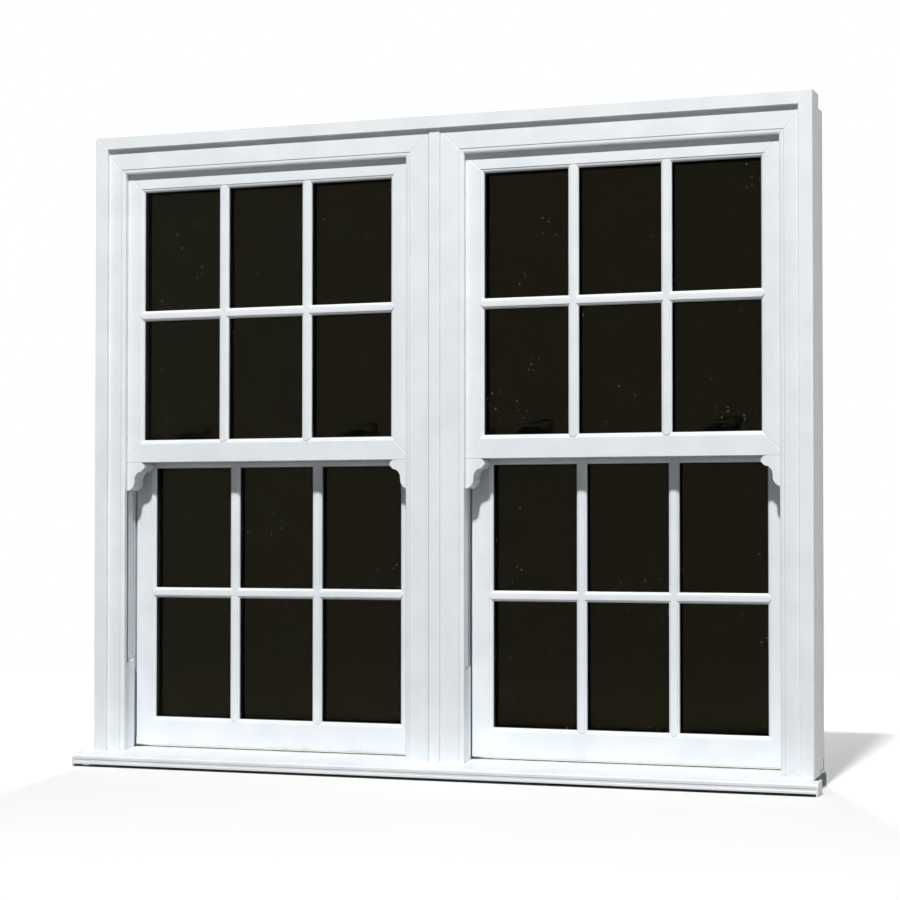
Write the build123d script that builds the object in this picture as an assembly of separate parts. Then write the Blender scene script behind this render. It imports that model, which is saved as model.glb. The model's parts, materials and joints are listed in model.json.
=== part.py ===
from build123d import *
from math import radians, tan
import os

# Coupled pair of white PVC vertical sliding sash windows.
# X runs left to right seen from outdoors, Y runs indoors, Z runs up.
# Origin: middle of the coupler, on the outdoor face of the frames, at the base of the sill.

# Frames
light_width = 682.3            # clear width of one light, between the frame noses
frame_face = 64.5              # face width of the head and jamb section
frame_depth = 136.0
nose_height = 1343.3           # underside of the head nose
wall = 2.8                     # skin of every hollow section
web = 1.6                      # inner webs of the hollow sections
arris = 0.6                    # small broken edges
bead_width = 9.1               # moulded inner edge of the frame face
bead_drop = 2.0
lip_depth = 13.6               # outer lip that the top sash runs behind
track_recess = 12.0            # track wall, back from the nose
channel_mouth = 12.0
channel_lip = 2.5
channel_width = 19.0
channel_depth = 22.0
parting_groove = 6.8
parting_groove_depth = 4.0
parting_groove_place = 66.7
back_chamfer = 2.0

# Sashes
sash_gap = 5.2                 # each side, between sash and track wall
sash_depth = 44.0
face_clearance = 1.5           # between the frame lip and the top sash
track_gap = 18.2               # between the two sashes
stile_width = 47.5
top_rail_gap = 6.2
top_opening = 565.5            # glass sight height of the top sash
meeting_rail = 51.0
rail_step = 0.1                # top of the lower sash, below the sight line of the top sash
bottom_rail = 64.7
lower_sash_base = 39.4         # underside of the bottom rail, above the base of the sill
lock_rail = 62.0               # top rail of the lower sash
upper_drop = 380.0
lower_lift = 560.0

# Glazing
lip_thickness = 8.0            # glazing lip at the outdoor face
lip_width = 7.0                # its ovolo, below a small step
lip_edge = 0.5
step_depth = 1.8
step_run = 1.0
round_share = 0.29             # where an arc's middle lies, between a square corner and its ends
sash_arris = 1.2
rebate = 19.0                  # glazing rebate, back from the sight line
pane_cover = 14.0
pane_thickness = 4.0
cavity = 20.0
spacer_inset = 4.0
spacer_width = 6.0
bead_height = 18.6
bead_land = 3.0
bead_chamfer = 8.0
bar_width = 22.8
bar_offset = 101.0
bar_lip = 4.0                  # ovolo of a bar, each side
bar_proud = 0.4
bar_crown = 0.3
inner_bar_height = 6.0
grid_width = 12.0
grid_depth = 14.0

# Sill
horn_projection = 15.4         # ends of the sill, past the trim
sill_front = 76.0              # nose, in front of the frame face
nose_base = 6.0
sill_nose = 19.5
sill_fall = 3.6                # degrees
sill_web = 50.0                # inner web of the sill, in from the frame face
seat_lead = 8.0                # slope runs this far under the lower sash
upstand_place = 122.6
upstand_height = 60.0
sill_rear = 22.0               # front of the base, in front of the frame face
overhang_lift = 10.0
drip_wall = 7.0                # front wall of the drip groove
drip_width = 5.0
drip_depth = 3.0
nose_bead = 4.0                # bead under the groove of the nose
nose_groove = 1.0
nose_groove_side = 1.5
nose_groove_width = 4.0
nose_radius = 4.0
upstand_radius = 3.0
horn_depth = 46.0
cap_thickness = 4.0
cap_proud = 1.2
cap_rise = 2.4
cap_radius = 9.0

# Trim, coupler
trim_width = 29.5
trim_proud = 10.2
trim_leg = 5.5
trim_depth = 60.0
head_overlap = 8.1             # trim over the head face
fit_gap = 0.3                  # named clearance of clipped and stood pieces
coupler_web = 4.0
coupler_gap = 0.2
coupler_width = 23.8
coupler_flange = 2.4

# Horns
horn_drop = 63.8
horn_reach = 49.4

# Track stops and seals
stop_gap = 5.0                 # left under the horns of a top sash that is right down
stop_ramp = 10.0
stop_thickness = 8.0
pile_width = 5.0
pile_margin = 3.0
pile_drop = 4.0                # pile on the upstand, below its top
pile_gap = 0.3

# Balances
tube_radius = 6.0
tube_bore = 4.5
tube_foot_gap = 3.2            # tube above the shoe of the top sash
rod_radius = 2.5
shoe_height = 45.0
shoe_clearance = 0.5
shoe_rise = 8.0                # above the base of the sash
pivot_bar = 8.0
pivot_rise = 6.0
top_clearance = 12.0
rod_end_play = 11.3            # top of the rod, below the top of its tube

# Locks, keeps, latches, lifts
lock_offset = 205.0
hub_offset = 30.0
hub_depth = 14.0               # hub axis, in from the outdoor face of the lower sash
hub_radius = 9.0
hub_height = 21.5
hub_waist = 6.4
hub_crown = 2.0
collar_radius = 7.6
collar_height = 2.0
pin_radius = 4.0
pin_height = 17.0
pin_clearance = 0.3
base_length = 64.0
base_width = 24.0
base_height = 4.5
base_chamfer = 1.0
claw_gap = 0.5
cam_reach = 27.5
cam_clearance = 1.2
cam_width = 12.0
cam_height = 5.5
arm_length = 46.0
arm_width = 11.0
arm_rise = 31.2                # crest of the arm, above the foot of the hub
arm_thickness = 3.8
arm_waist = 1.8
finger_drop = 6.4              # finger below the crest
finger_round = 2.0
claw_curl = 10.5               # curl at the other end of the arm, past the hub's axis
curl_drop = 19.0               # its foot, below the crest
ledge_depth = 10.8
ledge_height = 26.0
ledge_below = 14.0             # top of the ledge, below the sight line of the meeting rail
ledge_toe = 3.0
ledge_nose = 6.0
lip_projection = 9.5
lip_height = 10.0
lip_chamfer = 3.0
interlock_gap = 1.5
keep_length = 84.0
keep_thickness = 3.0
keep_top = 20.0                # crown of the keep, above the sight line
keep_end = 2.0                 # its ends, above the sight line
keep_chamfer = 0.8
keep_setback = 0.8
keep_lip = 3.0
keep_lip_height = 2.5
keep_foot_inset = 6.0
latch_place = 41.7             # latch knob, in from the edge of the sash
latch_housing = 17.6
latch_height = 14.0
latch_clearance = 0.3
bolt_width = 11.4
bolt_height = 7.4
bolt_throw = 12.0
bolt_tip = 6.5                 # into the balance channel
latch_floor = 2.5
latch_margin = 6.0
knob_radius = 6.2
knob_waist = 4.3
knob_height = 18.0
lift_offset = 150.0
lift_width = 60.0
lift_plate = 34.0
lift_thickness = 3.0
lift_reach = 22.0
lift_place = 26.0
lift_bend = 6.0
lift_corner = 6.0
lift_lip = 13.0

# Fixing holes
fixing_radius = 3.5
fixing_depth = 80.0
jamb_fixing_low = 240.0
jamb_fixing_high = 1140.0
head_fixing_spread = 440.0

# Worked out from the sizes above
nose = light_width / 2
frame_half = nose + frame_face
centre = frame_half + coupler_gap + coupler_web / 2
frame_top = nose_height + frame_face
track_wall = nose + track_recess
sash_half = track_wall - sash_gap
sight_half = sash_half - stile_width
upper_face = lip_depth + face_clearance
lower_face = upper_face + sash_depth + track_gap
upper_top = nose_height + track_recess - top_rail_gap
upper_sight_top = upper_top - stile_width
upper_sight = upper_sight_top - top_opening
upper_base = upper_sight - meeting_rail
lower_sight = lower_sash_base + bottom_rail
lower_top = upper_sight - rail_step
lower_sight_top = lower_top - lock_rail
outer_channel = upper_face + sash_depth / 2
inner_channel = lower_face + sash_depth / 2
trim_outer = frame_half + fit_gap + trim_leg
trim_inner = trim_outer - trim_width
trim_under = frame_top - head_overlap
trim_top = trim_under + trim_width
sill_half = centre + trim_outer
horn_half = sill_half + horn_projection
glass_front = lip_thickness
glass_back = glass_front + 2 * pane_thickness + cavity
slope = tan(radians(sill_fall))
seat_front = lower_face + seat_lead
fall = (sill_front + seat_front) * slope
hub_place = lower_face + hub_depth
tube_inset = channel_lip + channel_depth - tube_radius - fit_gap
tube_top = nose_height - top_clearance
tube_length = tube_top - (upper_base + shoe_rise + shoe_height + tube_foot_gap)
stop_top = upper_base - horn_drop - upper_drop - stop_gap


def face(start, *steps, place=lambda a, b: (a, b)):
    """A flat face from points; a step of two points is an arc through the first to the second."""
    edges = []
    here = place(*start)
    for step in steps:
        if isinstance(step[0], tuple):
            end = place(*step[1])
            edges.append(ThreePointArc(here, place(*step[0]), end))
        else:
            end = place(*step)
            edges.append(Line(here, end))
        here = end
    edges.append(Line(here, place(*start)))
    return make_face(edges)


def block(x0, x1, y0, y1, z0, z1):
    """A box from its limits."""
    size = Box(x1 - x0, y1 - y0, z1 - z0)
    return Pos((x0 + x1) / 2, (y0 + y1) / 2, (z0 + z1) / 2) * size


def along_x(profile, x0, x1):
    """Extrude a (Y, Z) profile between two X values."""
    return extrude(Plane.YZ.offset(x0) * profile, amount=x1 - x0)


def along_y(profile, y0, y1):
    """Extrude an (X, Z) profile between two Y values."""
    return extrude(Plane.XZ.offset(-y0) * profile, amount=-(y1 - y0))


def along_z(profile, z0, z1):
    """Extrude an (X, Y) profile between two Z values."""
    return extrude(Plane.XY.offset(z0) * profile, amount=z1 - z0)


def save(name, *solids):
    """Write one node; its pieces stay separate solids."""
    export_step(Compound(label=name, children=[s for part in solids for s in part.solids()]),
                "parts/" + name + ".step")


def frame_section(place):
    """Head and jamb section: moulded nose, outer lip, track wall with two balance channels, chambers."""
    mouth = channel_mouth / 2
    half = channel_width / 2
    floor = track_recess + channel_lip + channel_depth
    groove_end = parting_groove_place + parting_groove
    outer = face(
        (frame_face, 0), (bead_width + arris, 0), (bead_width, arris),
        ((bead_width * 0.35, bead_drop * 0.55), (0, bead_drop + 1.2)),
        (0, lip_depth), (track_recess, lip_depth),
        (track_recess, outer_channel - mouth), (track_recess + channel_lip, outer_channel - mouth),
        (track_recess + channel_lip, outer_channel - half), (floor, outer_channel - half),
        (floor, outer_channel + half), (track_recess + channel_lip, outer_channel + half),
        (track_recess + channel_lip, outer_channel + mouth), (track_recess, outer_channel + mouth),
        (track_recess, parting_groove_place),
        (track_recess + parting_groove_depth, parting_groove_place),
        (track_recess + parting_groove_depth, groove_end), (track_recess, groove_end),
        (track_recess, inner_channel - mouth), (track_recess + channel_lip, inner_channel - mouth),
        (track_recess + channel_lip, inner_channel - half), (floor, inner_channel - half),
        (floor, inner_channel + half), (track_recess + channel_lip, inner_channel + half),
        (track_recess + channel_lip, inner_channel + mouth), (track_recess, inner_channel + mouth),
        (track_recess, frame_depth - back_chamfer), (track_recess + back_chamfer, frame_depth),
        (frame_face, frame_depth),
        place=place)
    back = frame_face - wall
    front_cell = face((track_recess + wall, wall), (back, wall), (back, outer_channel - half - wall),
                      (track_recess + wall, outer_channel - half - wall), place=place)
    low = floor + wall
    back_cell = face((low, outer_channel - half), (back, outer_channel - half),
                     (back, inner_channel + half), (low, inner_channel + half), place=place)
    between = face((track_recess + parting_groove_depth + wall, outer_channel + half + wall),
                   (floor, outer_channel + half + wall), (floor, inner_channel - half - wall),
                   (track_recess + parting_groove_depth + wall, inner_channel - half - wall), place=place)
    inner_cell = face((track_recess + wall, inner_channel + half + wall),
                      (back, inner_channel + half + wall), (back, frame_depth - wall),
                      (track_recess + wall, frame_depth - wall), place=place)
    return outer - front_cell - back_cell - between - inner_cell


def sill_outline():
    """Outer (Y, Z) outline of the sill: grooved nose, sloped top, flat seat, upstand, base."""
    top = nose_base + sill_nose
    seat = top + fall
    side = nose_groove_side
    groove_low = nose_base + nose_bead
    groove_high = groove_low + nose_groove_width + 2 * side
    edge = upstand_radius
    return face(
        (-sill_front, nose_base), (-sill_front, groove_low), (-sill_front + nose_groove, groove_low + side),
        (-sill_front + nose_groove, groove_high - side), (-sill_front, groove_high),
        (-sill_front, top - nose_radius),
        ((-sill_front + nose_radius * 0.29, top - nose_radius * 0.26),
         (-sill_front + nose_radius, top + nose_radius * slope)),
        (seat_front, seat), (upstand_place, seat),
        (upstand_place, upstand_height - edge),
        ((upstand_place + edge * 0.29, upstand_height - edge * 0.29), (upstand_place + edge, upstand_height)),
        (frame_depth, upstand_height), (frame_depth, 0), (-sill_rear, 0),
        (-sill_rear, overhang_lift), (-sill_front + drip_wall + drip_width, overhang_lift),
        (-sill_front + drip_wall + drip_width, overhang_lift + drip_depth),
        (-sill_front + drip_wall, overhang_lift + drip_depth), (-sill_front + drip_wall, nose_base))


def make_sill():
    top = nose_base + sill_nose

    def under(y):
        return top + slope * (min(y, seat_front) + sill_front) - wall

    body = sill_outline()
    front_cell, back_cell = -sill_front + drip_wall + wall, -sill_rear - web
    floor = overhang_lift + drip_depth + wall
    front = face((front_cell, floor), (front_cell + drip_width + wall, floor),
                 (front_cell + drip_width + wall, overhang_lift + wall), (back_cell, overhang_lift + wall),
                 (back_cell, under(back_cell)), (front_cell, under(front_cell)))
    middle = face((-sill_rear + wall, wall), (sill_web, wall), (sill_web, under(sill_web)),
                  (-sill_rear + wall, under(-sill_rear + wall)))
    rear = face((sill_web + web, wall), (frame_depth - wall, wall),
                (frame_depth - wall, upstand_height - wall), (upstand_place + wall, upstand_height - wall),
                (upstand_place + wall, under(seat_front)),
                (seat_front, under(seat_front)), (sill_web + web, under(sill_web)))
    section = body - front - middle - rear
    sill = along_x(section, -horn_half, horn_half)
    for side in (-1, 1):
        x0, x1 = sorted((side * sill_half, side * (horn_half + 1)))
        sill -= block(x0, x1, -sill_front + horn_depth, frame_depth + 1, -1, upstand_height + 1)
        x0, x1 = sorted((side * (centre + frame_half), side * (horn_half + 1)))
        sill -= block(x0, x1, upstand_place - 0.1, frame_depth + 1, top + fall, upstand_height + 1)
    return sill


def make_end_caps():
    top = nose_base + sill_nose + cap_rise
    front = -sill_front - cap_proud
    back = -sill_front + horn_depth
    rise = (back - front) * slope
    side = face((front, 0), (front, top - cap_radius),
                ((front + cap_radius * 0.29, top - cap_radius * 0.29), (front + cap_radius, top)),
                (back, top + rise), (back, 0))
    return [along_x(side, horn_half, horn_half + cap_thickness),
            along_x(side, -horn_half - cap_thickness, -horn_half)]


def sill_block():
    """The sill's whole outline, used to cut the feet of what stands on it."""
    return along_x(sill_outline(), -horn_half - cap_thickness, horn_half + cap_thickness)


def corner_region(x_outer, x_inner, z_low, z_high):
    """Jamb side of the mitre, as an (X, Z) face."""
    run = abs(x_outer - x_inner)
    return face((x_outer, z_low), (x_inner, z_low), (x_inner, z_high - run), (x_outer, z_high))


def make_light(light_centre, foot):
    """Head and two jambs of one light, mitred at the top corners."""
    pieces = []
    for side in (-1, 1):
        profile = frame_section(lambda p, y: (light_centre + side * (nose + p), y))
        jamb = along_z(profile, 0, frame_top)
        region = corner_region(light_centre + side * frame_half, light_centre + side * nose, 0, frame_top)
        jamb = jamb & along_y(region, -1, frame_depth + 1)
        jamb -= foot
        if side * light_centre > 0:
            for z in (jamb_fixing_low, jamb_fixing_high):
                hole = Pos(light_centre + side * (nose + frame_face / 2), fixing_depth, z)
                jamb -= hole * Rot(0, 90, 0) * Cylinder(fixing_radius, frame_face + 2)
        pieces.append(jamb)
    profile = frame_section(lambda p, y: (y, nose_height + p))
    head = along_x(profile, light_centre - frame_half, light_centre + frame_half)
    region = face((light_centre - frame_half, frame_top), (light_centre + frame_half, frame_top),
                  (light_centre + nose, nose_height), (light_centre - nose, nose_height))
    head = head & along_y(region, -1, frame_depth + 1)
    for side in (-1, 1):
        hole = Pos(light_centre + side * head_fixing_spread / 2, fixing_depth, nose_height + frame_face / 2)
        head -= hole * Cylinder(fixing_radius, frame_face + 2)
    return pieces[0], pieces[1], head


def make_coupler(foot):
    """H section between the frames, with a cover flange outdoors and one indoors."""
    half = coupler_width / 2
    core = coupler_web / 2
    section = face((-half, -coupler_flange + arris), (-half + arris, -coupler_flange),
                   (half - arris, -coupler_flange), (half, -coupler_flange + arris), (half, 0), (core, 0),
                   (core, frame_depth), (half, frame_depth), (half, frame_depth + coupler_flange),
                   (-half, frame_depth + coupler_flange), (-half, frame_depth), (-core, frame_depth),
                   (-core, 0), (-half, 0))
    piece = along_z(section, 0, frame_top) - foot
    return piece - block(-centre, centre, -coupler_flange - 1, 0, trim_under, frame_top + 1)


def make_trims(foot):
    """Outdoor trim: a deep head piece and two side pieces, mitred at the top corners."""
    round_off = 1.5

    def side_section(side):
        def place(u, y):
            return side * (centre + u), y
        outer = face((trim_inner, 0), (trim_inner, -trim_proud + round_off),
                     (trim_inner + round_off, -trim_proud), (trim_outer - round_off, -trim_proud),
                     (trim_outer, -trim_proud + round_off), (trim_outer, trim_depth),
                     (trim_outer - trim_leg, trim_depth), (trim_outer - trim_leg, 0), place=place)
        far = trim_outer - trim_leg - web
        cell = face((trim_inner + wall, -wall), (trim_inner + wall, -trim_proud + wall),
                    (far, -trim_proud + wall), (far, -wall), place=place)
        return outer - cell

    sides = []
    for side in (-1, 1):
        piece = along_z(side_section(side), 0, trim_top)
        region = corner_region(side * (centre + trim_outer), side * (centre + trim_inner), 0, trim_top)
        sides.append((piece & along_y(region, -trim_proud - 1, trim_depth + 1)) - foot)
    outer = face((0, trim_under), (-trim_proud + round_off, trim_under),
                 (-trim_proud, trim_under + round_off), (-trim_proud, trim_top - round_off),
                 (-trim_proud + round_off, trim_top), (trim_depth, trim_top),
                 (trim_depth, frame_top + fit_gap), (0, frame_top + fit_gap))
    low = frame_top + fit_gap + wall
    cell = face((-trim_proud + wall, low), (trim_depth - wall, low),
                (trim_depth - wall, trim_top - wall), (-trim_proud + wall, trim_top - wall))
    far = centre + trim_outer
    near = centre + trim_inner
    region = face((-far, trim_top), (far, trim_top), (near, trim_under), (-near, trim_under))
    head = along_x(outer - cell, -far, far) & along_y(region, -trim_proud - 1, trim_depth + 1)
    return head, sides


def sash_section(width, place):
    """Hollow sash section: q runs from the outer edge to the sight line, y from the outdoor face."""
    lip = width - lip_width
    low = lip_thickness - lip_edge
    floor = width - rebate
    edge = sash_arris
    bulge = (width - lip_width * round_share, step_depth + (low - step_depth) * round_share)
    outer = face((0, edge), (edge, 0), (lip - step_run, 0), (lip, step_depth),
                 (bulge, (width, low)), (width, lip_thickness),
                 (floor, lip_thickness), (floor, sash_depth), (edge, sash_depth),
                 (0, sash_depth - edge), place=place)
    middle = (lip_thickness + sash_depth) / 2
    front = face((wall, wall), (floor - wall, wall), (floor - wall, middle - web / 2),
                 (wall, middle - web / 2), place=place)
    back = face((wall, middle + web / 2), (floor - wall, middle + web / 2),
                (floor - wall, sash_depth - wall), (wall, sash_depth - wall), place=place)
    return outer - front - back


def clean(points):
    """Drop a point that repeats the one before it."""
    kept = []
    for point in points:
        if not kept or abs(point[0] - kept[-1][0]) + abs(point[1] - kept[-1][1]) > 0.01:
            kept.append(point)
    return kept


def rail_region(sash, at_top):
    """(X, Z) face of a rail between its two 45 degree mitres, with square ends where it is deeper."""
    x = sash["x"]
    edge = sash["top"] if at_top else sash["base"]
    sight = sash["sight_top"] if at_top else sash["sight"]
    heel = sight + stile_width if at_top else sight - stile_width
    points = clean([(x - sash_half, edge), (x - sash_half, heel), (x - sight_half, sight),
                    (x + sight_half, sight), (x + sash_half, heel), (x + sash_half, edge)])
    return face(*points)


def make_sash(sash):
    """Two stiles and two rails, mitred at 45 degrees."""
    x, y0 = sash["x"], sash["y"]
    members = []
    for side in (-1, 1):
        profile = sash_section(stile_width, lambda q, y: (x + side * (sash_half - q), y0 + y))
        low, high = sash["sight"] - stile_width, sash["sight_top"] + stile_width
        region = face((x + side * sash_half, low), (x + side * sight_half, sash["sight"]),
                      (x + side * sight_half, sash["sight_top"]), (x + side * sash_half, high))
        members.append(along_z(profile, low, high) & along_y(region, y0 - 1, y0 + sash_depth + 1))
    for at_top in (False, True):
        edge = sash["top"] if at_top else sash["base"]
        sight = sash["sight_top"] if at_top else sash["sight"]
        way = -1 if at_top else 1
        profile = sash_section(abs(sight - edge), lambda q, y: (y0 + y, edge + way * q))
        rail = along_x(profile, x - sash_half, x + sash_half)
        members.append(rail & along_y(rail_region(sash, at_top), y0 - 1, y0 + sash_depth + 1))
    return members


def make_panes(sash):
    x, y0 = sash["x"], sash["y"]
    half = sight_half + pane_cover
    low, high = sash["sight"] - pane_cover, sash["sight_top"] + pane_cover
    panes = []
    for depth in (glass_front, glass_back - pane_thickness):
        panes.append(block(x - half, x + half, y0 + depth, y0 + depth + pane_thickness, low, high))
    return panes


def make_spacer(sash):
    """Spacer frame of the sealed unit, with its inner grid behind the glazing bars."""
    x, y0 = sash["x"], sash["y"]
    half = sight_half + pane_cover - spacer_inset
    low, high = sash["sight"] - pane_cover + spacer_inset, sash["sight_top"] + pane_cover - spacer_inset
    y1, y2 = y0 + glass_front + pane_thickness, y0 + glass_back - pane_thickness
    ring = block(x - half, x + half, y1, y2, low, high)
    ring -= block(x - half + spacer_width, x + half - spacer_width, y1 - 1, y2 + 1,
                  low + spacer_width, high - spacer_width)
    margin = (cavity - grid_depth) / 2
    middle = (sash["sight"] + sash["sight_top"]) / 2
    w = grid_width / 2
    for side in (-1, 1):
        xb = x + side * bar_offset
        ring += block(xb - w, xb + w, y1 + margin, y2 - margin, low + 1, high - 1)
    ring += block(x - half + 1, x + half - 1, y1 + margin, y2 - margin, middle - w, middle + w)
    return [ring]


def bar_section(height, place):
    """Glazing bar: an ovolo and a step each side like the sash's own edge, and a shallow crown."""
    half = bar_width / 2
    lip = half - bar_lip
    flat = lip - step_run
    step = height - step_depth
    bulge = (half - bar_lip * round_share, step - (step - lip_edge) * round_share)
    return face((-half, 0), (-half, lip_edge), ((-bulge[0], bulge[1]), (-lip, step)),
                (-flat, height - bar_crown), ((0, height), (flat, height - bar_crown)), (lip, step),
                (bulge, (half, lip_edge)), (half, 0), place=place)


def make_bars(sash, members):
    """One welded cross of bars on each face of the sealed unit, with pointed ends outdoors."""
    x, y0 = sash["x"], sash["y"]
    half = bar_width / 2
    middle = (sash["sight"] + sash["sight_top"]) / 2
    crosses = []
    for outdoors in (True, False):
        seat = y0 + (glass_front if outdoors else glass_back)
        way = -1 if outdoors else 1
        height = lip_thickness + bar_proud if outdoors else inner_bar_height
        reach = lip_width if outdoors else 0
        y_low, y_high = sorted((seat, seat + way * height))
        cross = None
        for side in (-1, 1):
            xb = x + side * bar_offset
            profile = bar_section(height, lambda a, h: (xb + a, seat + way * h))
            low, high = sash["sight"], sash["sight_top"]
            bar = along_z(profile, low - reach, high + reach)
            if outdoors:
                shape = face((xb - half, low), (xb, low - reach), (xb + half, low),
                             (xb + half, high), (xb, high + reach), (xb - half, high))
                bar = bar & along_y(shape, y_low - 1, y_high + 1)
            cross = bar if cross is None else cross + bar
        profile = bar_section(height, lambda a, h: (seat + way * h, middle + a))
        bar = along_x(profile, x - sight_half - reach, x + sight_half + reach)
        if outdoors:
            left, right = x - sight_half, x + sight_half
            shape = face((left, middle - half), (right, middle - half), (right + reach, middle),
                         (right, middle + half), (left, middle + half), (left - reach, middle))
            bar = bar & along_y(shape, y_low - 1, y_high + 1)
        cross += bar
        if outdoors:
            for member in members:
                cross -= member
        crosses.append(cross)
    return crosses


def make_beads(sash):
    """Four indoor glazing beads, mitred at the corners."""
    x, y0 = sash["x"], sash["y"]
    y1, y2 = y0 + glass_back, y0 + sash_depth
    low, high = sash["sight"], sash["sight_top"]
    width = bead_height

    def section(place):
        return face((0, y1), (width, y1), (width, y1 + bead_land),
                    ((width - bead_chamfer * 0.3, y2 - bead_chamfer * 0.3), (width - bead_chamfer, y2)),
                    (0, y2), place=place)

    beads = []
    for side in (-1, 1):
        outer = sight_half + width
        profile = section(lambda q, y: (x + side * (outer - q), y))
        region = face((x + side * outer, low - width), (x + side * sight_half, low),
                      (x + side * sight_half, high), (x + side * outer, high + width))
        beads.append(along_z(profile, low - width, high + width) & along_y(region, y1 - 1, y2 + 1))
    for sight, way in ((low, -1), (high, 1)):
        profile = section(lambda q, y: (y, sight + way * (width - q)))
        region = face((x - sight_half - width, sight + way * width), (x - sight_half, sight),
                      (x + sight_half, sight), (x + sight_half + width, sight + way * width))
        rail = along_x(profile, x - sight_half - width, x + sight_half + width)
        beads.append(rail & along_y(region, y1 - 1, y2 + 1))
    return beads


def make_horns(sash):
    """Moulded horns that carry the stiles down past the meeting rail."""
    x, y0 = sash["x"], sash["y"]
    horns = []
    for side in (-1, 1):
        def place(q, h):
            return x + side * (sash_half - q), sash["base"] - h
        shape = face((0, 0), (40, 0), ((46.6, 4.2), (horn_reach, 12)), (41, 20.4), (34.5, 21.5),
                     ((28, 27.6), (24.7, 34.8)), (23.9, 47.9), ((18.2, 58), (8.4, horn_drop)),
                     (0, horn_drop), place=place)
        horns.append(along_y(shape, y0, y0 + sash_depth))
    return horns


def make_upper_ledge(sash):
    """Indoor ledge of the meeting rail: it carries the keeps and meets the lower sash's lip."""
    y1 = sash["y"] + sash_depth
    top = sash["sight"] - ledge_below
    x = sash["x"]
    section = face((y1, top - ledge_height), (y1 + ledge_toe, top - ledge_height),
                   (y1 + ledge_depth, top - ledge_nose), (y1 + ledge_depth, top), (y1, top))
    return [along_x(section, x - sash_half, x + sash_half)]


def make_lower_lip(sash):
    """Outdoor lip on the lower sash's top rail, closing over the ledge of the top sash."""
    y1 = sash["y"]
    low = upper_sight - ledge_below + interlock_gap
    x = sash["x"]
    out = y1 - lip_projection
    section = face((y1, low), (out, low), (out, low + lip_height - lip_chamfer),
                   (out + lip_chamfer, low + lip_height), (y1, low + lip_height))
    return [along_x(section, x - sash_half, x + sash_half)]


def make_keeps(sash):
    """Arched brass keeps on the ledge, each with a lip that the claw's cam turns under."""
    y1 = sash["y"] + sash_depth + keep_setback
    base = sash["sight"] - ledge_below
    crown = sash["sight"] + keep_top
    end = sash["sight"] + keep_end
    half = keep_length / 2
    keeps = []
    for side in (-1, 1):
        xk = sash["x"] + side * lock_offset
        shape = face((xk - half, base), (xk - half, end), ((xk, crown), (xk + half, end)), (xk + half, base))
        plate = along_y(shape, y1, y1 + keep_thickness)
        plate = chamfer(plate.edges().filter_by(GeomType.CIRCLE), keep_chamfer)
        xh = xk + hub_offset
        low = lower_top + base_height + claw_gap + cam_height + cam_clearance
        plate += block(xh - cam_width / 2 - 2, xh + cam_width / 2 - 1, y1, y1 + keep_thickness + keep_lip,
                       low, low + keep_lip_height)
        plate += block(xk - half + keep_foot_inset, xk + half - keep_foot_inset,
                       y1, y1 + keep_thickness + keep_lip, base, base + keep_lip_height)
        keeps.append(plate)
    return keeps


def make_lock_base(xh, sash):
    """Low rounded base with the pin that the claw turns on."""
    z = sash["top"]
    centre_x = xh - (base_length / 2 - base_width / 2)
    plate = Pos(centre_x, hub_place, z) * extrude(SlotOverall(base_length, base_width), amount=base_height)
    plate = chamfer(plate.faces().sort_by(Axis.Z)[-1].edges(), base_chamfer)
    return plate + Pos(xh, hub_place, z) * extrude(Circle(pin_radius), amount=pin_height)


def make_claw(xh, sash):
    """Turned hub, cam and S-shaped finger arm that curls down over the hub; at rest it lies unlocked."""
    z = sash["top"] + base_height + claw_gap
    neck = cam_height + (hub_radius - hub_waist) / 2
    collar = hub_height * 0.62
    dome = hub_height - collar - collar_height
    profile = face((0, 0), (hub_radius, 0), (hub_radius, cam_height), (hub_waist, neck), (hub_waist, collar),
                   (collar_radius, collar + 1), (collar_radius, collar + collar_height),
                   ((collar_radius * 0.8, hub_height - dome * 0.3), (hub_crown, hub_height)), (0, hub_height))
    hub = Pos(xh, hub_place, z) * revolve(Plane.XZ * profile, Axis.Z)
    cam = Pos(xh, hub_place + cam_reach / 2, z) * extrude(Rectangle(cam_width, cam_reach), amount=cam_height)
    cam = cam & (Pos(xh, hub_place, z) * extrude(Circle(cam_reach), amount=cam_height))
    crest = z + arm_rise
    t = arm_thickness
    drop = finger_drop
    curl = claw_curl
    foot = curl - 1.5
    length = arm_length
    tip = finger_round - length
    side = face((foot, -curl_drop), ((curl, -curl_drop * 0.58), (curl * 0.3, -curl_drop * 0.16)),
                ((-length * 0.17, 0), (-length * 0.48, -drop * 0.58)),
                ((-length * 0.7, -drop - 0.2), (tip, -drop)),
                ((tip - finger_round, -drop - t / 2), (tip, -drop - t)),
                ((-length * 0.7, -drop - t + 0.2), (-length * 0.48, -drop * 0.58 - t)),
                ((-length * 0.2, -t - 0.6), (0, -curl_drop * 0.16 - t)),
                ((curl * 0.5, -curl_drop * 0.63), (curl * 0.3, -curl_drop)),
                place=lambda a, h: (xh + a, crest + h))
    half = arm_width / 2
    waist = half - arm_waist
    end = half - finger_round
    plan = face((curl + 1, end), ((0, half - 0.3), (-length * 0.3, waist)),
                ((-length * 0.52, waist), (-length * 0.74, half - 1)), ((-length * 0.87, half), (tip, end)),
                ((tip - finger_round - 1, 0), (tip, -end)),
                ((-length * 0.87, -half), (-length * 0.74, 1 - half)),
                ((-length * 0.52, -waist), (-length * 0.3, -waist)), ((0, 0.3 - half), (curl + 1, -end)),
                place=lambda a, w: (xh + a, hub_place + w))
    arm = along_y(side, hub_place - arm_width, hub_place + arm_width) & along_z(plan, z, crest + 1)
    bore = Pos(xh, hub_place, z - 1) * extrude(Circle(pin_radius + pin_clearance),
                                               amount=pin_height - base_height + 1.5)
    return hub + cam + arm - bore


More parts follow.
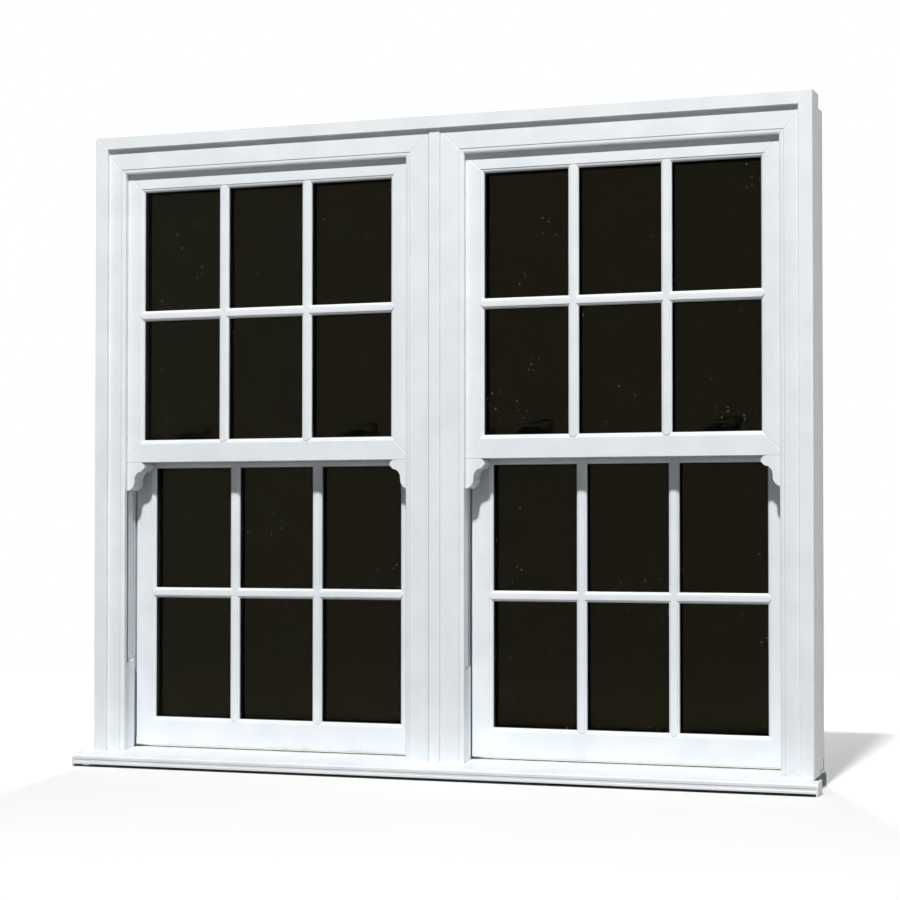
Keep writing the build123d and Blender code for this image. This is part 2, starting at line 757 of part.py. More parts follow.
def latch_pocket(sash, side):
    """Pocket in the top corner of the lower sash for the latch housing."""
    x, z = sash["x"], sash["top"]
    reach = latch_place + bolt_throw + knob_radius + latch_margin
    x0, x1 = sorted((x + side * (sash_half + 1), x + side * (sash_half - reach)))
    half = latch_housing / 2 + 0.1
    return block(x0, x1, inner_channel - half, inner_channel + half, z - latch_height, z + 1)


def make_latch_housing(sash, side):
    """Channel-shaped guide of the tilt latch, flush with the top rail."""
    x, z = sash["x"], sash["top"]
    reach = latch_place + bolt_throw + knob_radius + latch_margin
    half = latch_housing / 2
    x0, x1 = sorted((x + side * sash_half, x + side * (sash_half - reach + 0.1)))
    guide = block(x0, x1, inner_channel - half, inner_channel + half, z - latch_height + 0.1, z)
    c = latch_clearance
    x0, x1 = sorted((x + side * (sash_half + 1), x + side * (sash_half - reach + latch_floor)))
    low = z - latch_height + latch_floor
    guide -= block(x0, x1, inner_channel - bolt_width / 2 - c, inner_channel + bolt_width / 2 + c,
                   low - c, low + bolt_height + c)
    x0, x1 = sorted((x + side * (sash_half - latch_place + knob_waist + 1),
                     x + side * (sash_half - latch_place - bolt_throw - knob_waist - 1)))
    return guide - block(x0, x1, inner_channel - knob_waist - c, inner_channel + knob_waist + c, low, z + 1)


def make_latch_bolt(sash, side):
    """Spring bolt that keeps the sash's top in the balance channel, with its flared knob."""
    x, z = sash["x"], sash["top"]
    low = z - latch_height + latch_floor
    x0, x1 = sorted((x + side * (track_wall + bolt_tip), x + side * (sash_half - latch_place - knob_radius)))
    half = bolt_width / 2
    bolt = block(x0, x1, inner_channel - half, inner_channel + half, low, low + bolt_height)
    flare = face((0, low), (knob_waist, low), (knob_waist, z + 2.5),
                 ((knob_waist - 0.4, z + knob_height * 0.5), (knob_radius, z + knob_height - 4)),
                 (knob_radius, z + knob_height), (0, z + knob_height))
    knob = revolve(Plane.XZ * flare, Axis.Z)
    return bolt + Pos(x + side * (sash_half - latch_place), inner_channel, 0) * knob


def make_lifts(sash):
    """Two hooked sash lifts on the indoor face of the bottom rail."""
    y1 = sash["y"] + sash_depth
    z = sash["base"] + lift_place
    t = lift_thickness
    lifts = []
    for side in (-1, 1):
        xl = sash["x"] + side * lift_offset
        y2 = y1 + lift_reach
        bend = lift_bend
        inner = bend - t
        hook = face((y1, z), (y2 - bend, z), ((y2 - bend * 0.29, z + bend * 0.29), (y2, z + bend)),
                    (y2, z + lift_lip), (y2 - t, z + lift_lip), (y2 - t, z + bend),
                    ((y2 - t - inner * 0.29, z + t + inner * 0.29), (y2 - bend, z + t)),
                    (y1 + t, z + t), (y1 + t, z + lift_plate), (y1, z + lift_plate))
        outline = Pos(xl, z + lift_plate / 2) * RectangleRounded(lift_width, lift_plate, lift_corner)
        hook = along_x(hook, xl - lift_width / 2, xl + lift_width / 2)
        lifts.append(hook & along_y(outline, y1 - 1, y2 + 1))
    return lifts


def balance_axis(light_centre, side, channel):
    return light_centre + side * (track_wall + tube_inset), channel


def make_tubes():
    """Spiral balance tubes, hung from the head in the channels of the jambs."""
    tubes = []
    for light_centre in (-centre, centre):
        for side in (-1, 1):
            for channel in (outer_channel, inner_channel):
                ring = Circle(tube_radius) - Circle(tube_bore)
                tube = extrude(ring, amount=-tube_length)
                x, y = balance_axis(light_centre, side, channel)
                tubes.append(Pos(x, y, tube_top) * tube)
    return tubes


def make_shoes(sash, channel, rod_top):
    """Balance shoe, pivot bar and spiral rod at each side of a sash."""
    pieces = []
    c = shoe_clearance
    low = sash["base"] + shoe_rise
    for side in (-1, 1):
        x, y = balance_axis(sash["x"], side, channel)
        inner = sash["x"] + side * (track_wall + channel_lip + c)
        outer = sash["x"] + side * (track_wall + channel_lip + channel_depth - c)
        x0, x1 = sorted((inner, outer))
        half = channel_width / 2 - c
        shoe = block(x0, x1, y - half, y + half, low, low + shoe_height)
        x0, x1 = sorted((inner, sash["x"] + side * (sash_half + 0.1)))
        half = channel_mouth / 2 - 3 * c
        bar = block(x0, x1, y - half, y + half, low + pivot_rise, low + pivot_rise + pivot_bar)
        rod = Pos(x, y, low + shoe_height) * extrude(Circle(rod_radius), amount=rod_top - low - shoe_height)
        pieces.extend([shoe, bar, rod])
    return pieces


def make_stops(foot):
    """Fillers in the outer track, from the sill up, that end the top sash's travel."""
    stops = []
    for light_centre in (-centre, centre):
        for side in (-1, 1):
            x0, x1 = sorted((light_centre + side * track_wall,
                             light_centre + side * (track_wall - stop_thickness)))
            back = upper_face + sash_depth + 1
            stop = block(x0, x1, upper_face, back, 0, stop_top)
            ramp = face((lip_depth, stop_top + 1), (lip_depth, stop_top - stop_ramp),
                        (back + 1, stop_top + 1))
            stops.append(stop - along_x(ramp, x0 - 1, x1 + 1) - foot)
    return stops


def make_piles(foot):
    """Brush piles: behind the frame lips, and on the upstand of the sill."""
    piles = []
    y1, y2 = lip_depth, upper_face - pile_gap
    margin = pile_margin
    pile_top = upstand_height - pile_drop
    for light_centre in (-centre, centre):
        for side in (-1, 1):
            x0, x1 = sorted((light_centre + side * (nose + margin),
                             light_centre + side * (nose + margin + pile_width)))
            piles.append(block(x0, x1, y1, y2, 0, nose_height) - foot)
        piles.append(block(light_centre - nose, light_centre + nose, y1, y2,
                           nose_height + margin, nose_height + margin + pile_width))
        piles.append(block(light_centre - nose, light_centre + nose, lower_face + sash_depth + pile_gap,
                           upstand_place, pile_top - pile_width, pile_top))
    return piles


def main():
    os.makedirs("parts", exist_ok=True)
    foot = sill_block()
    save("sill", make_sill())
    save("sill_end_caps", *make_end_caps())
    for name, light_centre in (("left", -centre), ("right", centre)):
        low_jamb, high_jamb, head = make_light(light_centre, foot)
        outer, inner = (low_jamb, high_jamb) if name == "left" else (high_jamb, low_jamb)
        save(name + "_jamb_outer", outer)
        save(name + "_jamb_inner", inner)
        save(name + "_head", head)
        upper = {"x": light_centre, "y": upper_face, "base": upper_base, "sight": upper_sight,
                 "sight_top": upper_sight_top, "top": upper_top}
        lower = {"x": light_centre, "y": lower_face, "base": lower_sash_base, "sight": lower_sight,
                 "sight_top": lower_sight_top, "top": lower_top}
        for level, sash in (("upper", upper), ("lower", lower)):
            prefix = name + "_" + level + "_"
            members = make_sash(sash)
            bars = make_bars(sash, members)
            if level == "lower":
                for side in (-1, 1):
                    members = [member - latch_pocket(sash, side) for member in members]
            save(prefix + "sash", *members)
            save(prefix + "panes", *make_panes(sash))
            save(prefix + "spacer", *make_spacer(sash))
            save(prefix + "glazing_bars", *bars)
            save(prefix + "beads", *make_beads(sash))
        save(name + "_upper_horns", *make_horns(upper))
        save(name + "_upper_ledge", *make_upper_ledge(upper))
        save(name + "_upper_keeps", *make_keeps(upper))
        save(name + "_upper_balance_shoes", *make_shoes(upper, outer_channel, tube_top - rod_end_play))
        save(name + "_lower_lip", *make_lower_lip(lower))
        rod_top = tube_top - lower_lift - rod_end_play
        save(name + "_lower_balance_shoes", *make_shoes(lower, inner_channel, rod_top))
        save(name + "_lower_lifts", *make_lifts(lower))
        hubs = [light_centre + side * lock_offset + hub_offset for side in (-1, 1)]
        save(name + "_lock_bases", *[make_lock_base(xh, lower) for xh in hubs])
        save(name + "_claw_left", make_claw(hubs[0], lower))
        save(name + "_claw_right", make_claw(hubs[1], lower))
        save(name + "_latch_housings", *[make_latch_housing(lower, side) for side in (-1, 1)])
        save(name + "_latch_bolt_left", make_latch_bolt(lower, -1))
        save(name + "_latch_bolt_right", make_latch_bolt(lower, 1))
    save("frame_coupler", make_coupler(foot))
    trim_head, trim_sides = make_trims(foot)
    save("trim_head", trim_head)
    save("trim_sides", *trim_sides)
    save("track_stops", *make_stops(foot))
    save("balance_tubes", *make_tubes())
    save("brush_seals", *make_piles(foot))


main()
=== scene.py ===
import json
import math

import bpy
import numpy as np
from mathutils import Matrix, Vector


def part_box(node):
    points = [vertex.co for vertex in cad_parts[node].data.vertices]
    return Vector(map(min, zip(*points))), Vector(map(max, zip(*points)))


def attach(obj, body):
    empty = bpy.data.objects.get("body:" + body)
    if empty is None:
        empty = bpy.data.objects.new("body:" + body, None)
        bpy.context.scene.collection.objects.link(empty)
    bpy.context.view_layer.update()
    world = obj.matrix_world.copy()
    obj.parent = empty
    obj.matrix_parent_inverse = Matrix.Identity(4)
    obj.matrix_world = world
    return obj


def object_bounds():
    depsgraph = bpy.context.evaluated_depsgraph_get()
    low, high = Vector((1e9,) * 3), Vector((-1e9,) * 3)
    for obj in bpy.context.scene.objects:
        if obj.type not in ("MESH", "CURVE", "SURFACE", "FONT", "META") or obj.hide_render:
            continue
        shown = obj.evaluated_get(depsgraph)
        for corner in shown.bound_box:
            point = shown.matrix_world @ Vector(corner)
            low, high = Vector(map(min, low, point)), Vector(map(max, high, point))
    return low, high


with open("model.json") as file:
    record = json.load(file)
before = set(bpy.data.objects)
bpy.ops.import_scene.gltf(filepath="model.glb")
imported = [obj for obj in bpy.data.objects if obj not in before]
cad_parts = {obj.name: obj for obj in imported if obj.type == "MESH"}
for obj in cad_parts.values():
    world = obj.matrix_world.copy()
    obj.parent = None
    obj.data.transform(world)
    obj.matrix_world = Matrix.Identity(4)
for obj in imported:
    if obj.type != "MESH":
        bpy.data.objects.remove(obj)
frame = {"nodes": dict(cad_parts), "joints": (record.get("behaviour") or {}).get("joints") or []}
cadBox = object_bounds()
nodes = frame["nodes"]
sides = ("left", "right")
levels = ("upper", "lower")
print("frame loaded:", len(nodes), "nodes")


# Small helpers

def toLinear(hexColour):
    # sRGB hex to linear RGBA
    values = [int(hexColour[i:i + 2], 16) / 255 for i in (1, 3, 5)]
    return [v / 12.92 if v <= 0.04045 else ((v + 0.055) / 1.055) ** 2.4 for v in values] + [1.0]


def addNode(tree, kind, settings=None, inputs=None):
    # one shader node; an input is a plain value, a socket, or a node, whose first output in use is linked
    node = tree.nodes.new("ShaderNode" + kind)
    for key, value in (settings or {}).items():
        setattr(node, key, value)
    for key, value in (inputs or {}).items():
        if isinstance(value, bpy.types.Node):
            value = next(socket for socket in value.outputs if socket.enabled)
        if isinstance(value, bpy.types.NodeSocket):
            tree.links.new(value, node.inputs[key])
        else:
            node.inputs[key].default_value = value
    return node


def startMaterial(name):
    # a material with an empty tree, and its Object coordinates
    material = bpy.data.materials.new(name)
    material.use_nodes = True
    tree = material.node_tree
    tree.nodes.clear()
    return material, tree, addNode(tree, "TexCoord").outputs["Object"]


def endMaterial(material, inputs):
    # the shader with its inputs, and the output
    tree = material.node_tree
    shader = addNode(tree, "BsdfPrincipled", inputs=inputs)
    addNode(tree, "OutputMaterial", inputs={"Surface": shader})
    return material


def patches(tree, coords, sizeMm, low=0.0, high=1.0, least=0.0, most=1.0, detail=3.0):
    # an amount that wanders from least to most in blobs about sizeMm across: the noise between low and
    # high is spread over it
    noise = addNode(tree, "TexNoise", inputs={
        "Vector": coords, "Scale": 1000 / sizeMm, "Detail": detail, "Roughness": 0.55})
    return addNode(tree, "MapRange", inputs={
        "Value": noise, "From Min": low, "From Max": high, "To Min": least, "To Max": most})


def specks(tree, coords, sizeMm, rim, core, where):
    # one round speck in each cell of sizeMm, clear at rim and full at core, times the amount where
    cells = addNode(tree, "TexVoronoi", inputs={"Vector": coords, "Scale": 1000 / sizeMm})
    spot = addNode(tree, "MapRange", inputs={
        "Value": cells.outputs["Distance"], "From Min": rim, "From Max": core})
    return addNode(tree, "Math", {"operation": "MULTIPLY"}, {0: spot, 1: where})


def nearness(tree, coordinate, centre, full, none, most=1.0):
    # the most up to full away from the centre, then falling evenly to 0 at none
    away = addNode(tree, "Math", {"operation": "SUBTRACT"}, {0: coordinate, 1: centre})
    distance = addNode(tree, "Math", {"operation": "ABSOLUTE"}, {0: away})
    return addNode(tree, "MapRange", inputs={
        "Value": distance, "From Min": full, "From Max": none, "To Min": most, "To Max": 0.0})


# Materials

pvc = {
    "white": "#e7ebee", "shade": "#dfe4e8", "mottleMm": 90.0, "sheenMm": 25.0, "ior": 1.53,
    # weather film: how much of it there is, and the heights between which it thins out
    "grime": "#8d8468", "grimeMm": 30.0, "mostGrime": 0.55, "frameGrime": (0.028, 0.052),
    "sashGrime": (0.0385, 0.050),
    "speck": "#5f5a4e", "speckMm": 7.0, "speckPatchMm": 45.0, "sashSpecks": 0.02, "sillSpecks": 0.05,
    # the real peel is about 0.3 mm across; drawn coarser so that it shows
    "peelMm": 1.1, "peelHeight": 0.0002, "peelStrength": 0.06,
}
dirt = {
    "colour": "#4b3f28", "patchMm": 16.0, "thinnest": 0.12, "thickest": 0.75,
    # full up to the first distance from a corner or the joint, and gone at the second
    "cornerReach": (0.004, 0.024), "jointReach": (0.0015, 0.0095), "sealReach": (0.012, 0.036),
    "behindFace": 0.0012,
}


def jointDirt(tree, coords, jointY, corners):
    # how much dirt lies along a joint at jointY: patches of it, or the nearness to a corner where that is
    # more, times the nearness to the joint
    across, depth, _ = addNode(tree, "SeparateXYZ", inputs={0: coords}).outputs
    amount = patches(tree, coords, dirt["patchMm"], 0.45, 0.75, dirt["thinnest"], dirt["thickest"], 5.0)
    for corner in corners:
        close = nearness(tree, across, corner, *dirt["cornerReach"])
        amount = addNode(tree, "Math", {"operation": "MAXIMUM"}, {0: amount, 1: close})
    beside = nearness(tree, depth, jointY, *dirt["jointReach"])
    return addNode(tree, "Math", {"operation": "MULTIPLY"}, {0: amount, 1: beside})


def extrudedPvc(name, grimeHeights=None, speckShare=0.0, jointY=None, corners=()):
    # extruded, calendered PVC-U: a cool white satin skin with the finest orange peel
    material, tree, coords = startMaterial(name)
    mottle = patches(tree, coords, pvc["mottleMm"], 0.35, 0.65)
    colour = addNode(tree, "Mix", {"data_type": "RGBA"}, {
        0: mottle, 6: toLinear(pvc["white"]), 7: toLinear(pvc["shade"])})
    if grimeHeights is not None:
        # the film gathers in the joint at the sill, thinning upwards
        height = addNode(tree, "SeparateXYZ", inputs={0: coords}).outputs["Z"]
        band = addNode(tree, "MapRange", inputs={
            "Value": height, "From Min": grimeHeights[0], "From Max": grimeHeights[1],
            "To Min": 1.0, "To Max": 0.0})
        patch = patches(tree, coords, pvc["grimeMm"], 0.50, 0.85, 0.0, pvc["mostGrime"], 6.0)
        film = addNode(tree, "Math", {"operation": "MULTIPLY"}, {0: band, 1: patch})
        colour = addNode(tree, "Mix", {"data_type": "RGBA"}, {0: film, 6: colour, 7: toLinear(pvc["grime"])})
    if jointY is not None:
        amount = jointDirt(tree, coords, jointY, corners)
        colour = addNode(tree, "Mix", {"data_type": "RGBA"}, {
            0: amount, 6: colour, 7: toLinear(dirt["colour"])})
    if speckShare:
        where = patches(tree, coords, pvc["speckPatchMm"], 0.66 - speckShare, 0.70 - speckShare, detail=1.0)
        spots = specks(tree, coords, pvc["speckMm"], 0.06, 0.03, where)
        colour = addNode(tree, "Mix", {"data_type": "RGBA"}, {
            0: spots, 6: colour, 7: toLinear(pvc["speck"])})
    peel = patches(tree, coords, pvc["peelMm"], detail=2.0)
    bump = addNode(tree, "Bump", inputs={
        "Height": peel, "Strength": pvc["peelStrength"], "Distance": pvc["peelHeight"]})
    return endMaterial(material, {
        "Base Color": colour, "Roughness": patches(tree, coords, pvc["sheenMm"], 0.3, 0.7, 0.30, 0.40),
        "IOR": pvc["ior"], "Normal": bump})


glass = {
    # the dark indoor tint is painted shade, standing in for the unlit room behind the glass
    "clear": "#f1f4ef", "dark": "#17150c", "mirror": "#2a2a2a", "roughness": 0.02, "ior": 1.5, "blend": 0.001,
    # the specks are drawn about 2 mm across, so that they show
    "dust": "#b9b7a8", "dustMm": 13.0, "dustPatchMm": 70.0, "dustReach": 0.0001, "dustClear": 0.25,
    "dustRoughness": 0.5,
}


def floatGlass(name, unit):
    # sealed unit of float glass: the outdoor pane clear, the indoor pane tinted near black as painted shade
    # of the unlit room behind it, and specks of dust on the weather side
    material, tree, coords = startMaterial(name)
    faceY, backY = (corner.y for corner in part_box(unit))
    middleY = (faceY + backY) / 2
    depth = addNode(tree, "SeparateXYZ", inputs={0: coords}).outputs["Y"]
    indoors = addNode(tree, "MapRange", inputs={
        "Value": depth, "From Min": middleY - glass["blend"], "From Max": middleY + glass["blend"]})
    colour = addNode(tree, "Mix", {"data_type": "RGBA"}, {
        0: indoors, 6: toLinear(glass["clear"]), 7: toLinear(glass["dark"])})
    weatherSide = addNode(tree, "MapRange", inputs={
        "Value": depth, "From Min": faceY + 2 * glass["dustReach"], "From Max": faceY + glass["dustReach"]})
    where = patches(tree, coords, glass["dustPatchMm"], 0.53, 0.62, detail=2.0)
    spots = specks(tree, coords, glass["dustMm"], 0.10, 0.04, where)
    dust = addNode(tree, "Math", {"operation": "MULTIPLY"}, {0: spots, 1: weatherSide})
    colour = addNode(tree, "Mix", {"data_type": "RGBA"}, {0: dust, 6: colour, 7: toLinear(glass["dust"])})
    clear = addNode(tree, "MapRange", inputs={"Value": dust, "To Min": 1.0, "To Max": glass["dustClear"]})
    roughness = addNode(tree, "MapRange", inputs={
        "Value": dust, "To Min": glass["roughness"], "To Max": glass["dustRoughness"]})
    return endMaterial(material, {
        "Base Color": colour, "Transmission Weight": clear, "Roughness": roughness,
        # the reflection is held down, so that the panes stay as deep in a pale studio
        "IOR": glass["ior"], "Specular Tint": toLinear(glass["mirror"])})


spacer = {"dark": "#24241f", "pale": "#33322a", "foamMm": 4.0, "roughness": 0.7}


def warmEdgeSpacer(name):
    # foamed silicone spacer: near black, dull
    material, tree, coords = startMaterial(name)
    colour = addNode(tree, "Mix", {"data_type": "RGBA"}, {
        0: patches(tree, coords, spacer["foamMm"]), 6: toLinear(spacer["dark"]), 7: toLinear(spacer["pale"])})
    return endMaterial(material, {"Base Color": colour, "Roughness": spacer["roughness"]})


brass = {
    "bright": "#dcc07c", "tarnish": "#b3924f", "patchMm": 8.0, "roughness": 0.16, "tarnishRoughness": 0.34,
}


def polishedBrass(name):
    # cast and polished brass under lacquer: warm, mirror-like, browner and duller in patches
    material, tree, coords = startMaterial(name)
    patch = patches(tree, coords, brass["patchMm"], 0.45, 0.75, detail=4.0)
    colour = addNode(tree, "Mix", {"data_type": "RGBA"}, {
        0: patch, 6: toLinear(brass["bright"]), 7: toLinear(brass["tarnish"])})
    roughness = addNode(tree, "MapRange", inputs={
        "Value": patch, "To Min": brass["roughness"], "To Max": brass["tarnishRoughness"]})
    return endMaterial(material, {"Base Color": colour, "Roughness": roughness, "Metallic": 1.0})


nylon = {"white": "#e9e9e5", "shade": "#dededa", "mottleMm": 6.0, "sheenMm": 2.0, "ior": 1.53}


def mouldedNylon(name):
    # injection-moulded white nylon: a little warmer and duller than the PVC
    material, tree, coords = startMaterial(name)
    colour = addNode(tree, "Mix", {"data_type": "RGBA"}, {
        0: patches(tree, coords, nylon["mottleMm"]), 6: toLinear(nylon["white"]),
        7: toLinear(nylon["shade"])})
    roughness = patches(tree, coords, nylon["sheenMm"], 0.3, 0.7, 0.4, 0.55)
    return endMaterial(material, {"Base Color": colour, "Roughness": roughness, "IOR": nylon["ior"]})


# the real draw lines are finer; drawn coarser so that they show
aluminium = {"bright": "#b9bcbd", "grey": "#9da1a3", "lineMm": 0.8, "stretch": 0.01}


def drawnAluminium(name):
    # mill-finish drawn tube: grey metal with long fine draw lines up the tube
    material, tree, coords = startMaterial(name)
    stretched = addNode(tree, "Mapping", inputs={"Vector": coords, "Scale": (1.0, 1.0, aluminium["stretch"])})
    lines = patches(tree, stretched, aluminium["lineMm"], detail=2.0)
    colour = addNode(tree, "Mix", {"data_type": "RGBA"}, {
        0: lines, 6: toLinear(aluminium["bright"]), 7: toLinear(aluminium["grey"])})
    roughness = addNode(tree, "MapRange", inputs={
        "Value": lines, "From Min": 0.3, "From Max": 0.7, "To Min": 0.25, "To Max": 0.45})
    return endMaterial(material, {"Base Color": colour, "Roughness": roughness, "Metallic": 1.0})


# the real fibres are about 0.1 mm thick; drawn coarser so that they show
pile = {"pale": "#8b8f90", "dark": "#5f6263", "fibreMm": 0.9, "fibreHeight": 0.0005, "fibreStrength": 0.6,
        "roughness": 0.95}


def wovenPile(name):
    # polypropylene brush pile: fine grey fibres standing close together
    material, tree, coords = startMaterial(name)
    fibres = patches(tree, coords, pile["fibreMm"], detail=2.0)
    colour = addNode(tree, "Mix", {"data_type": "RGBA"}, {
        0: fibres, 6: toLinear(pile["pale"]), 7: toLinear(pile["dark"])})
    bump = addNode(tree, "Bump", inputs={
        "Height": fibres, "Strength": pile["fibreStrength"], "Distance": pile["fibreHeight"]})
    return endMaterial(material, {"Base Color": colour, "Roughness": pile["roughness"], "Normal": bump})


rubber = {"black": "#1d1d1d", "worn": "#2a2a29", "wornMm": 12.0, "roughness": 0.6}


def extrudedGasket(name):
    # EPDM glazing gasket: matt black rubber
    material, tree, coords = startMaterial(name)
    colour = addNode(tree, "Mix", {"data_type": "RGBA"}, {
        0: patches(tree, coords, rubber["wornMm"]), 6: toLinear(rubber["black"]),
        7: toLinear(rubber["worn"])})
    return endMaterial(material, {"Base Color": colour, "Roughness": rubber["roughness"]})


softPvc = {"cream": "#f2f0e6", "yellowed": "#e6e3d6", "mottleMm": 20.0, "mostDirt": 0.9, "roughness": 0.5}


def softSeal(name, corners):
    # co-extruded soft PVC lip: cream, a little waxy, brown with dirt at its left ends
    material, tree, coords = startMaterial(name)
    across = addNode(tree, "SeparateXYZ", inputs={0: coords}).outputs["X"]
    colour = addNode(tree, "Mix", {"data_type": "RGBA"}, {
        0: patches(tree, coords, softPvc["mottleMm"]), 6: toLinear(softPvc["cream"]),
        7: toLinear(softPvc["yellowed"])})
    for corner in corners:
        close = nearness(tree, across, corner, *dirt["sealReach"], softPvc["mostDirt"])
        colour = addNode(tree, "Mix", {"data_type": "RGBA"}, {
            0: close, 6: colour, 7: toLinear(dirt["colour"])})
    return endMaterial(material, {"Base Color": colour, "Roughness": softPvc["roughness"]})


paintedGroove = {"mottleMm": 5.0, "roughness": 0.6}


def paintedGroovePvc(name, first, second):
    # PVC in the shallow groove of a weld or joint: dull, and coloured as painted light and shade: pale as a
    # painted highlight on a lit wall, grey as painted shade in the groove
    material, tree, coords = startMaterial(name)
    colour = addNode(tree, "Mix", {"data_type": "RGBA"}, {
        0: patches(tree, coords, paintedGroove["mottleMm"]), 6: toLinear(first), 7: toLinear(second)})
    return endMaterial(material, {"Base Color": colour, "Roughness": paintedGroove["roughness"]})


# the lower sashes stand on the sill at this depth, with their left corners here
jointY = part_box("left_lower_sash")[0].y + dirt["behindFace"]
leftCorners = [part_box(side + "_lower_sash")[0].x for side in sides]
finishes = {
    "frame": extrudedPvc("framePvc", pvc["frameGrime"]),
    "sash": extrudedPvc("sashPvc"),
    "lowerSash": extrudedPvc("lowerSashPvc", pvc["sashGrime"], pvc["sashSpecks"]),
    "sill": extrudedPvc("sillPvc", None, pvc["sillSpecks"], jointY, leftCorners),
    "seal": softSeal("softPvcSeal", leftCorners),
    "upperGlass": floatGlass("topSashGlass", "left_upper_panes"),
    "lowerGlass": floatGlass("lowerSashGlass", "left_lower_panes"),
    "spacer": warmEdgeSpacer("warmEdgeSpacer"),
    "brass": polishedBrass("polishedBrass"),
    "nylon": mouldedNylon("mouldedNylon"),
    "aluminium": drawnAluminium("drawnAluminium"),
    "pile": wovenPile("wovenPile"),
    "gasket": extrudedGasket("glazingGasket"),
    # painted shade for the groove lines along the frame and the cover strip
    "grooveShade": paintedGroovePvc("grooveShadePvc", "#70767a", "#8b9194"),
    # a painted highlight and painted shade for the two walls of a weld seam
    "seamLight": paintedGroovePvc("weldSeamLight", "#fdfeff", "#f3f6f8"),
    "seamShade": paintedGroovePvc("weldSeamShade", "#bcc2c6", "#aab1b6"),
}


def finishFor(node):
    # which finish a CAD node takes, by what its name ends with
    level = "upper" if "_upper_" in node else "lower"
    for ending, finish in (
            ("_panes", level + "Glass"), ("_spacer", "spacer"), ("_keeps", "brass"), ("_lifts", "brass"),
            ("_lock_bases", "brass"), ("_balance_shoes", "nylon"), ("_latch_housings", "nylon"),
            ("balance_tubes", "aluminium"), ("brush_seals", "pile")):
        if node.endswith(ending):
            return finish
    if "_claw_" in node:
        return "brass"
    if "_latch_bolt_" in node:
        return "nylon"
    if node in ("sill", "sill_end_caps"):
        return "sill"
    if "_lower_" in node:
        return "lowerSash"
    return "sash" if "_upper_" in node else "frame"


for name, node in nodes.items():
    node.data.materials.clear()
    node.data.materials.append(finishes[finishFor(name)])
print("materials set on", len(nodes), "nodes")


# Meshes from arrays

def meshOf(name, points, faces, finish, smooth=False):
    # a piece from an array of points and faces of any number of corners
    mesh = bpy.data.meshes.new(name)
    mesh.from_pydata(np.asarray(points, float).tolist(), [], [list(map(int, face)) for face in faces])
    mesh.polygons.foreach_set("use_smooth", np.full(len(mesh.polygons), smooth))
    mesh.materials.append(finishes[finish])
    mesh.update()
    piece = bpy.data.objects.new(name, mesh)
    bpy.context.scene.collection.objects.link(piece)
    return piece


def boxPoints(low, high):
    # eight corners and six outward faces of a box
    x0, y0, z0 = low
    x1, y1, z1 = high
    points = [(x0, y0, z0), (x1, y0, z0), (x1, y1, z0), (x0, y1, z0),
              (x0, y0, z1), (x1, y0, z1), (x1, y1, z1), (x0, y1, z1)]
    faces = [(0, 3, 2, 1), (4, 5, 6, 7), (0, 1, 5, 4), (1, 2, 6, 5), (2, 3, 7, 6), (3, 0, 4, 7)]
    return np.array(points), np.array(faces)


def joinParts(parts):
    # one array of points and one of faces from several
    points, faces, start = [], [], 0
    for partPoints, partFaces in parts:
        points.append(partPoints)
        faces.append(partFaces + start)
        start += len(partPoints)
    return np.concatenate(points), np.concatenate(faces)


def place(piece, body):
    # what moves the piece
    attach(piece, body)


# Camera, floor and light

cameraSettings = {
    "at": (1.65371, -4.60124, 0.52068), "yaw": 0.36452, "pitch": 0.02301, "roll": -0.00102,
    "focalPx": 2265.87, "framePx": 900, "sensor": 36.0,
    # the photo is cropped off centre by this many pixels
    "cropPx": (60.0, 33.0), "farthest": 100.0,
}


def aimCamera():
    # turned yaw to the left of straight on, pitched up, rolled about its own view
    c = cameraSettings
    data = bpy.data.cameras.new("camera")
    data.sensor_width = c["sensor"]
    data.lens = c["focalPx"] * c["sensor"] / c["framePx"]
    data.shift_x, data.shift_y = (shift / c["framePx"] for shift in c["cropPx"])
    data.clip_end = c["farthest"]
    camera = bpy.data.objects.new("camera", data)
    turn = (Matrix.Rotation(c["yaw"], 4, "Z") @ Matrix.Rotation(math.pi / 2 + c["pitch"], 4, "X")
            @ Matrix.Rotation(-c["roll"], 4, "Z"))
    camera.matrix_world = Matrix.Translation(c["at"]) @ turn
    bpy.context.scene.collection.objects.link(camera)
    bpy.context.scene.camera = camera


studio = {
    "floor": "#f1f1ef", "mottle": "#eeeeec", "mottleMm": 400.0, "bounce": "#565450", "floorSize": 40.0,
    "floorGap": 0.0002, "world": 0.032, "fadeFrom": 1.6, "fadeTo": 4.2, "aim": (0.0, 0.0, 0.7),
    "lamps": {
        "key": {"at": (1.1, -8.4, 10.4), "size": 0.8, "power": 2030.0},
        "side": {"at": (5.6, -1.0, 1.3), "size": 2.0, "power": 50.0},
        "rear": {"at": (-1.6, 5.6, 3.9), "size": 0.9, "power": 300.0},
    },
}
white = (1.0, 1.0, 1.0, 1.0)


def softLight(name, lamp):
    # a round lamp that looks at the aim and doesn't show through the glass
    data = bpy.data.lights.new(name, "AREA")
    data.shape = "DISK"
    data.size = lamp["size"]
    data.energy = lamp["power"]
    light = bpy.data.objects.new(name, data)
    light.location = lamp["at"]
    way = Vector(studio["aim"]) - Vector(lamp["at"])
    light.rotation_euler = way.to_track_quat("-Z", "Y").to_euler()
    light.visible_transmission = False
    bpy.context.scene.collection.objects.link(light)


def whiteWhereSeen(tree, otherwise):
    # 1 for camera, glossy and transmission rays, so metal and glass show the same white background
    rays = addNode(tree, "LightPath").outputs
    seen = addNode(tree, "Math", {"operation": "MAXIMUM"}, {
        0: rays["Is Camera Ray"], 1: rays["Is Glossy Ray"]})
    seen = addNode(tree, "Math", {"operation": "MAXIMUM"}, {0: seen, 1: rays["Is Transmission Ray"]})
    return addNode(tree, "MapRange", inputs={"Value": seen, "To Min": otherwise, "To Max": 1.0})


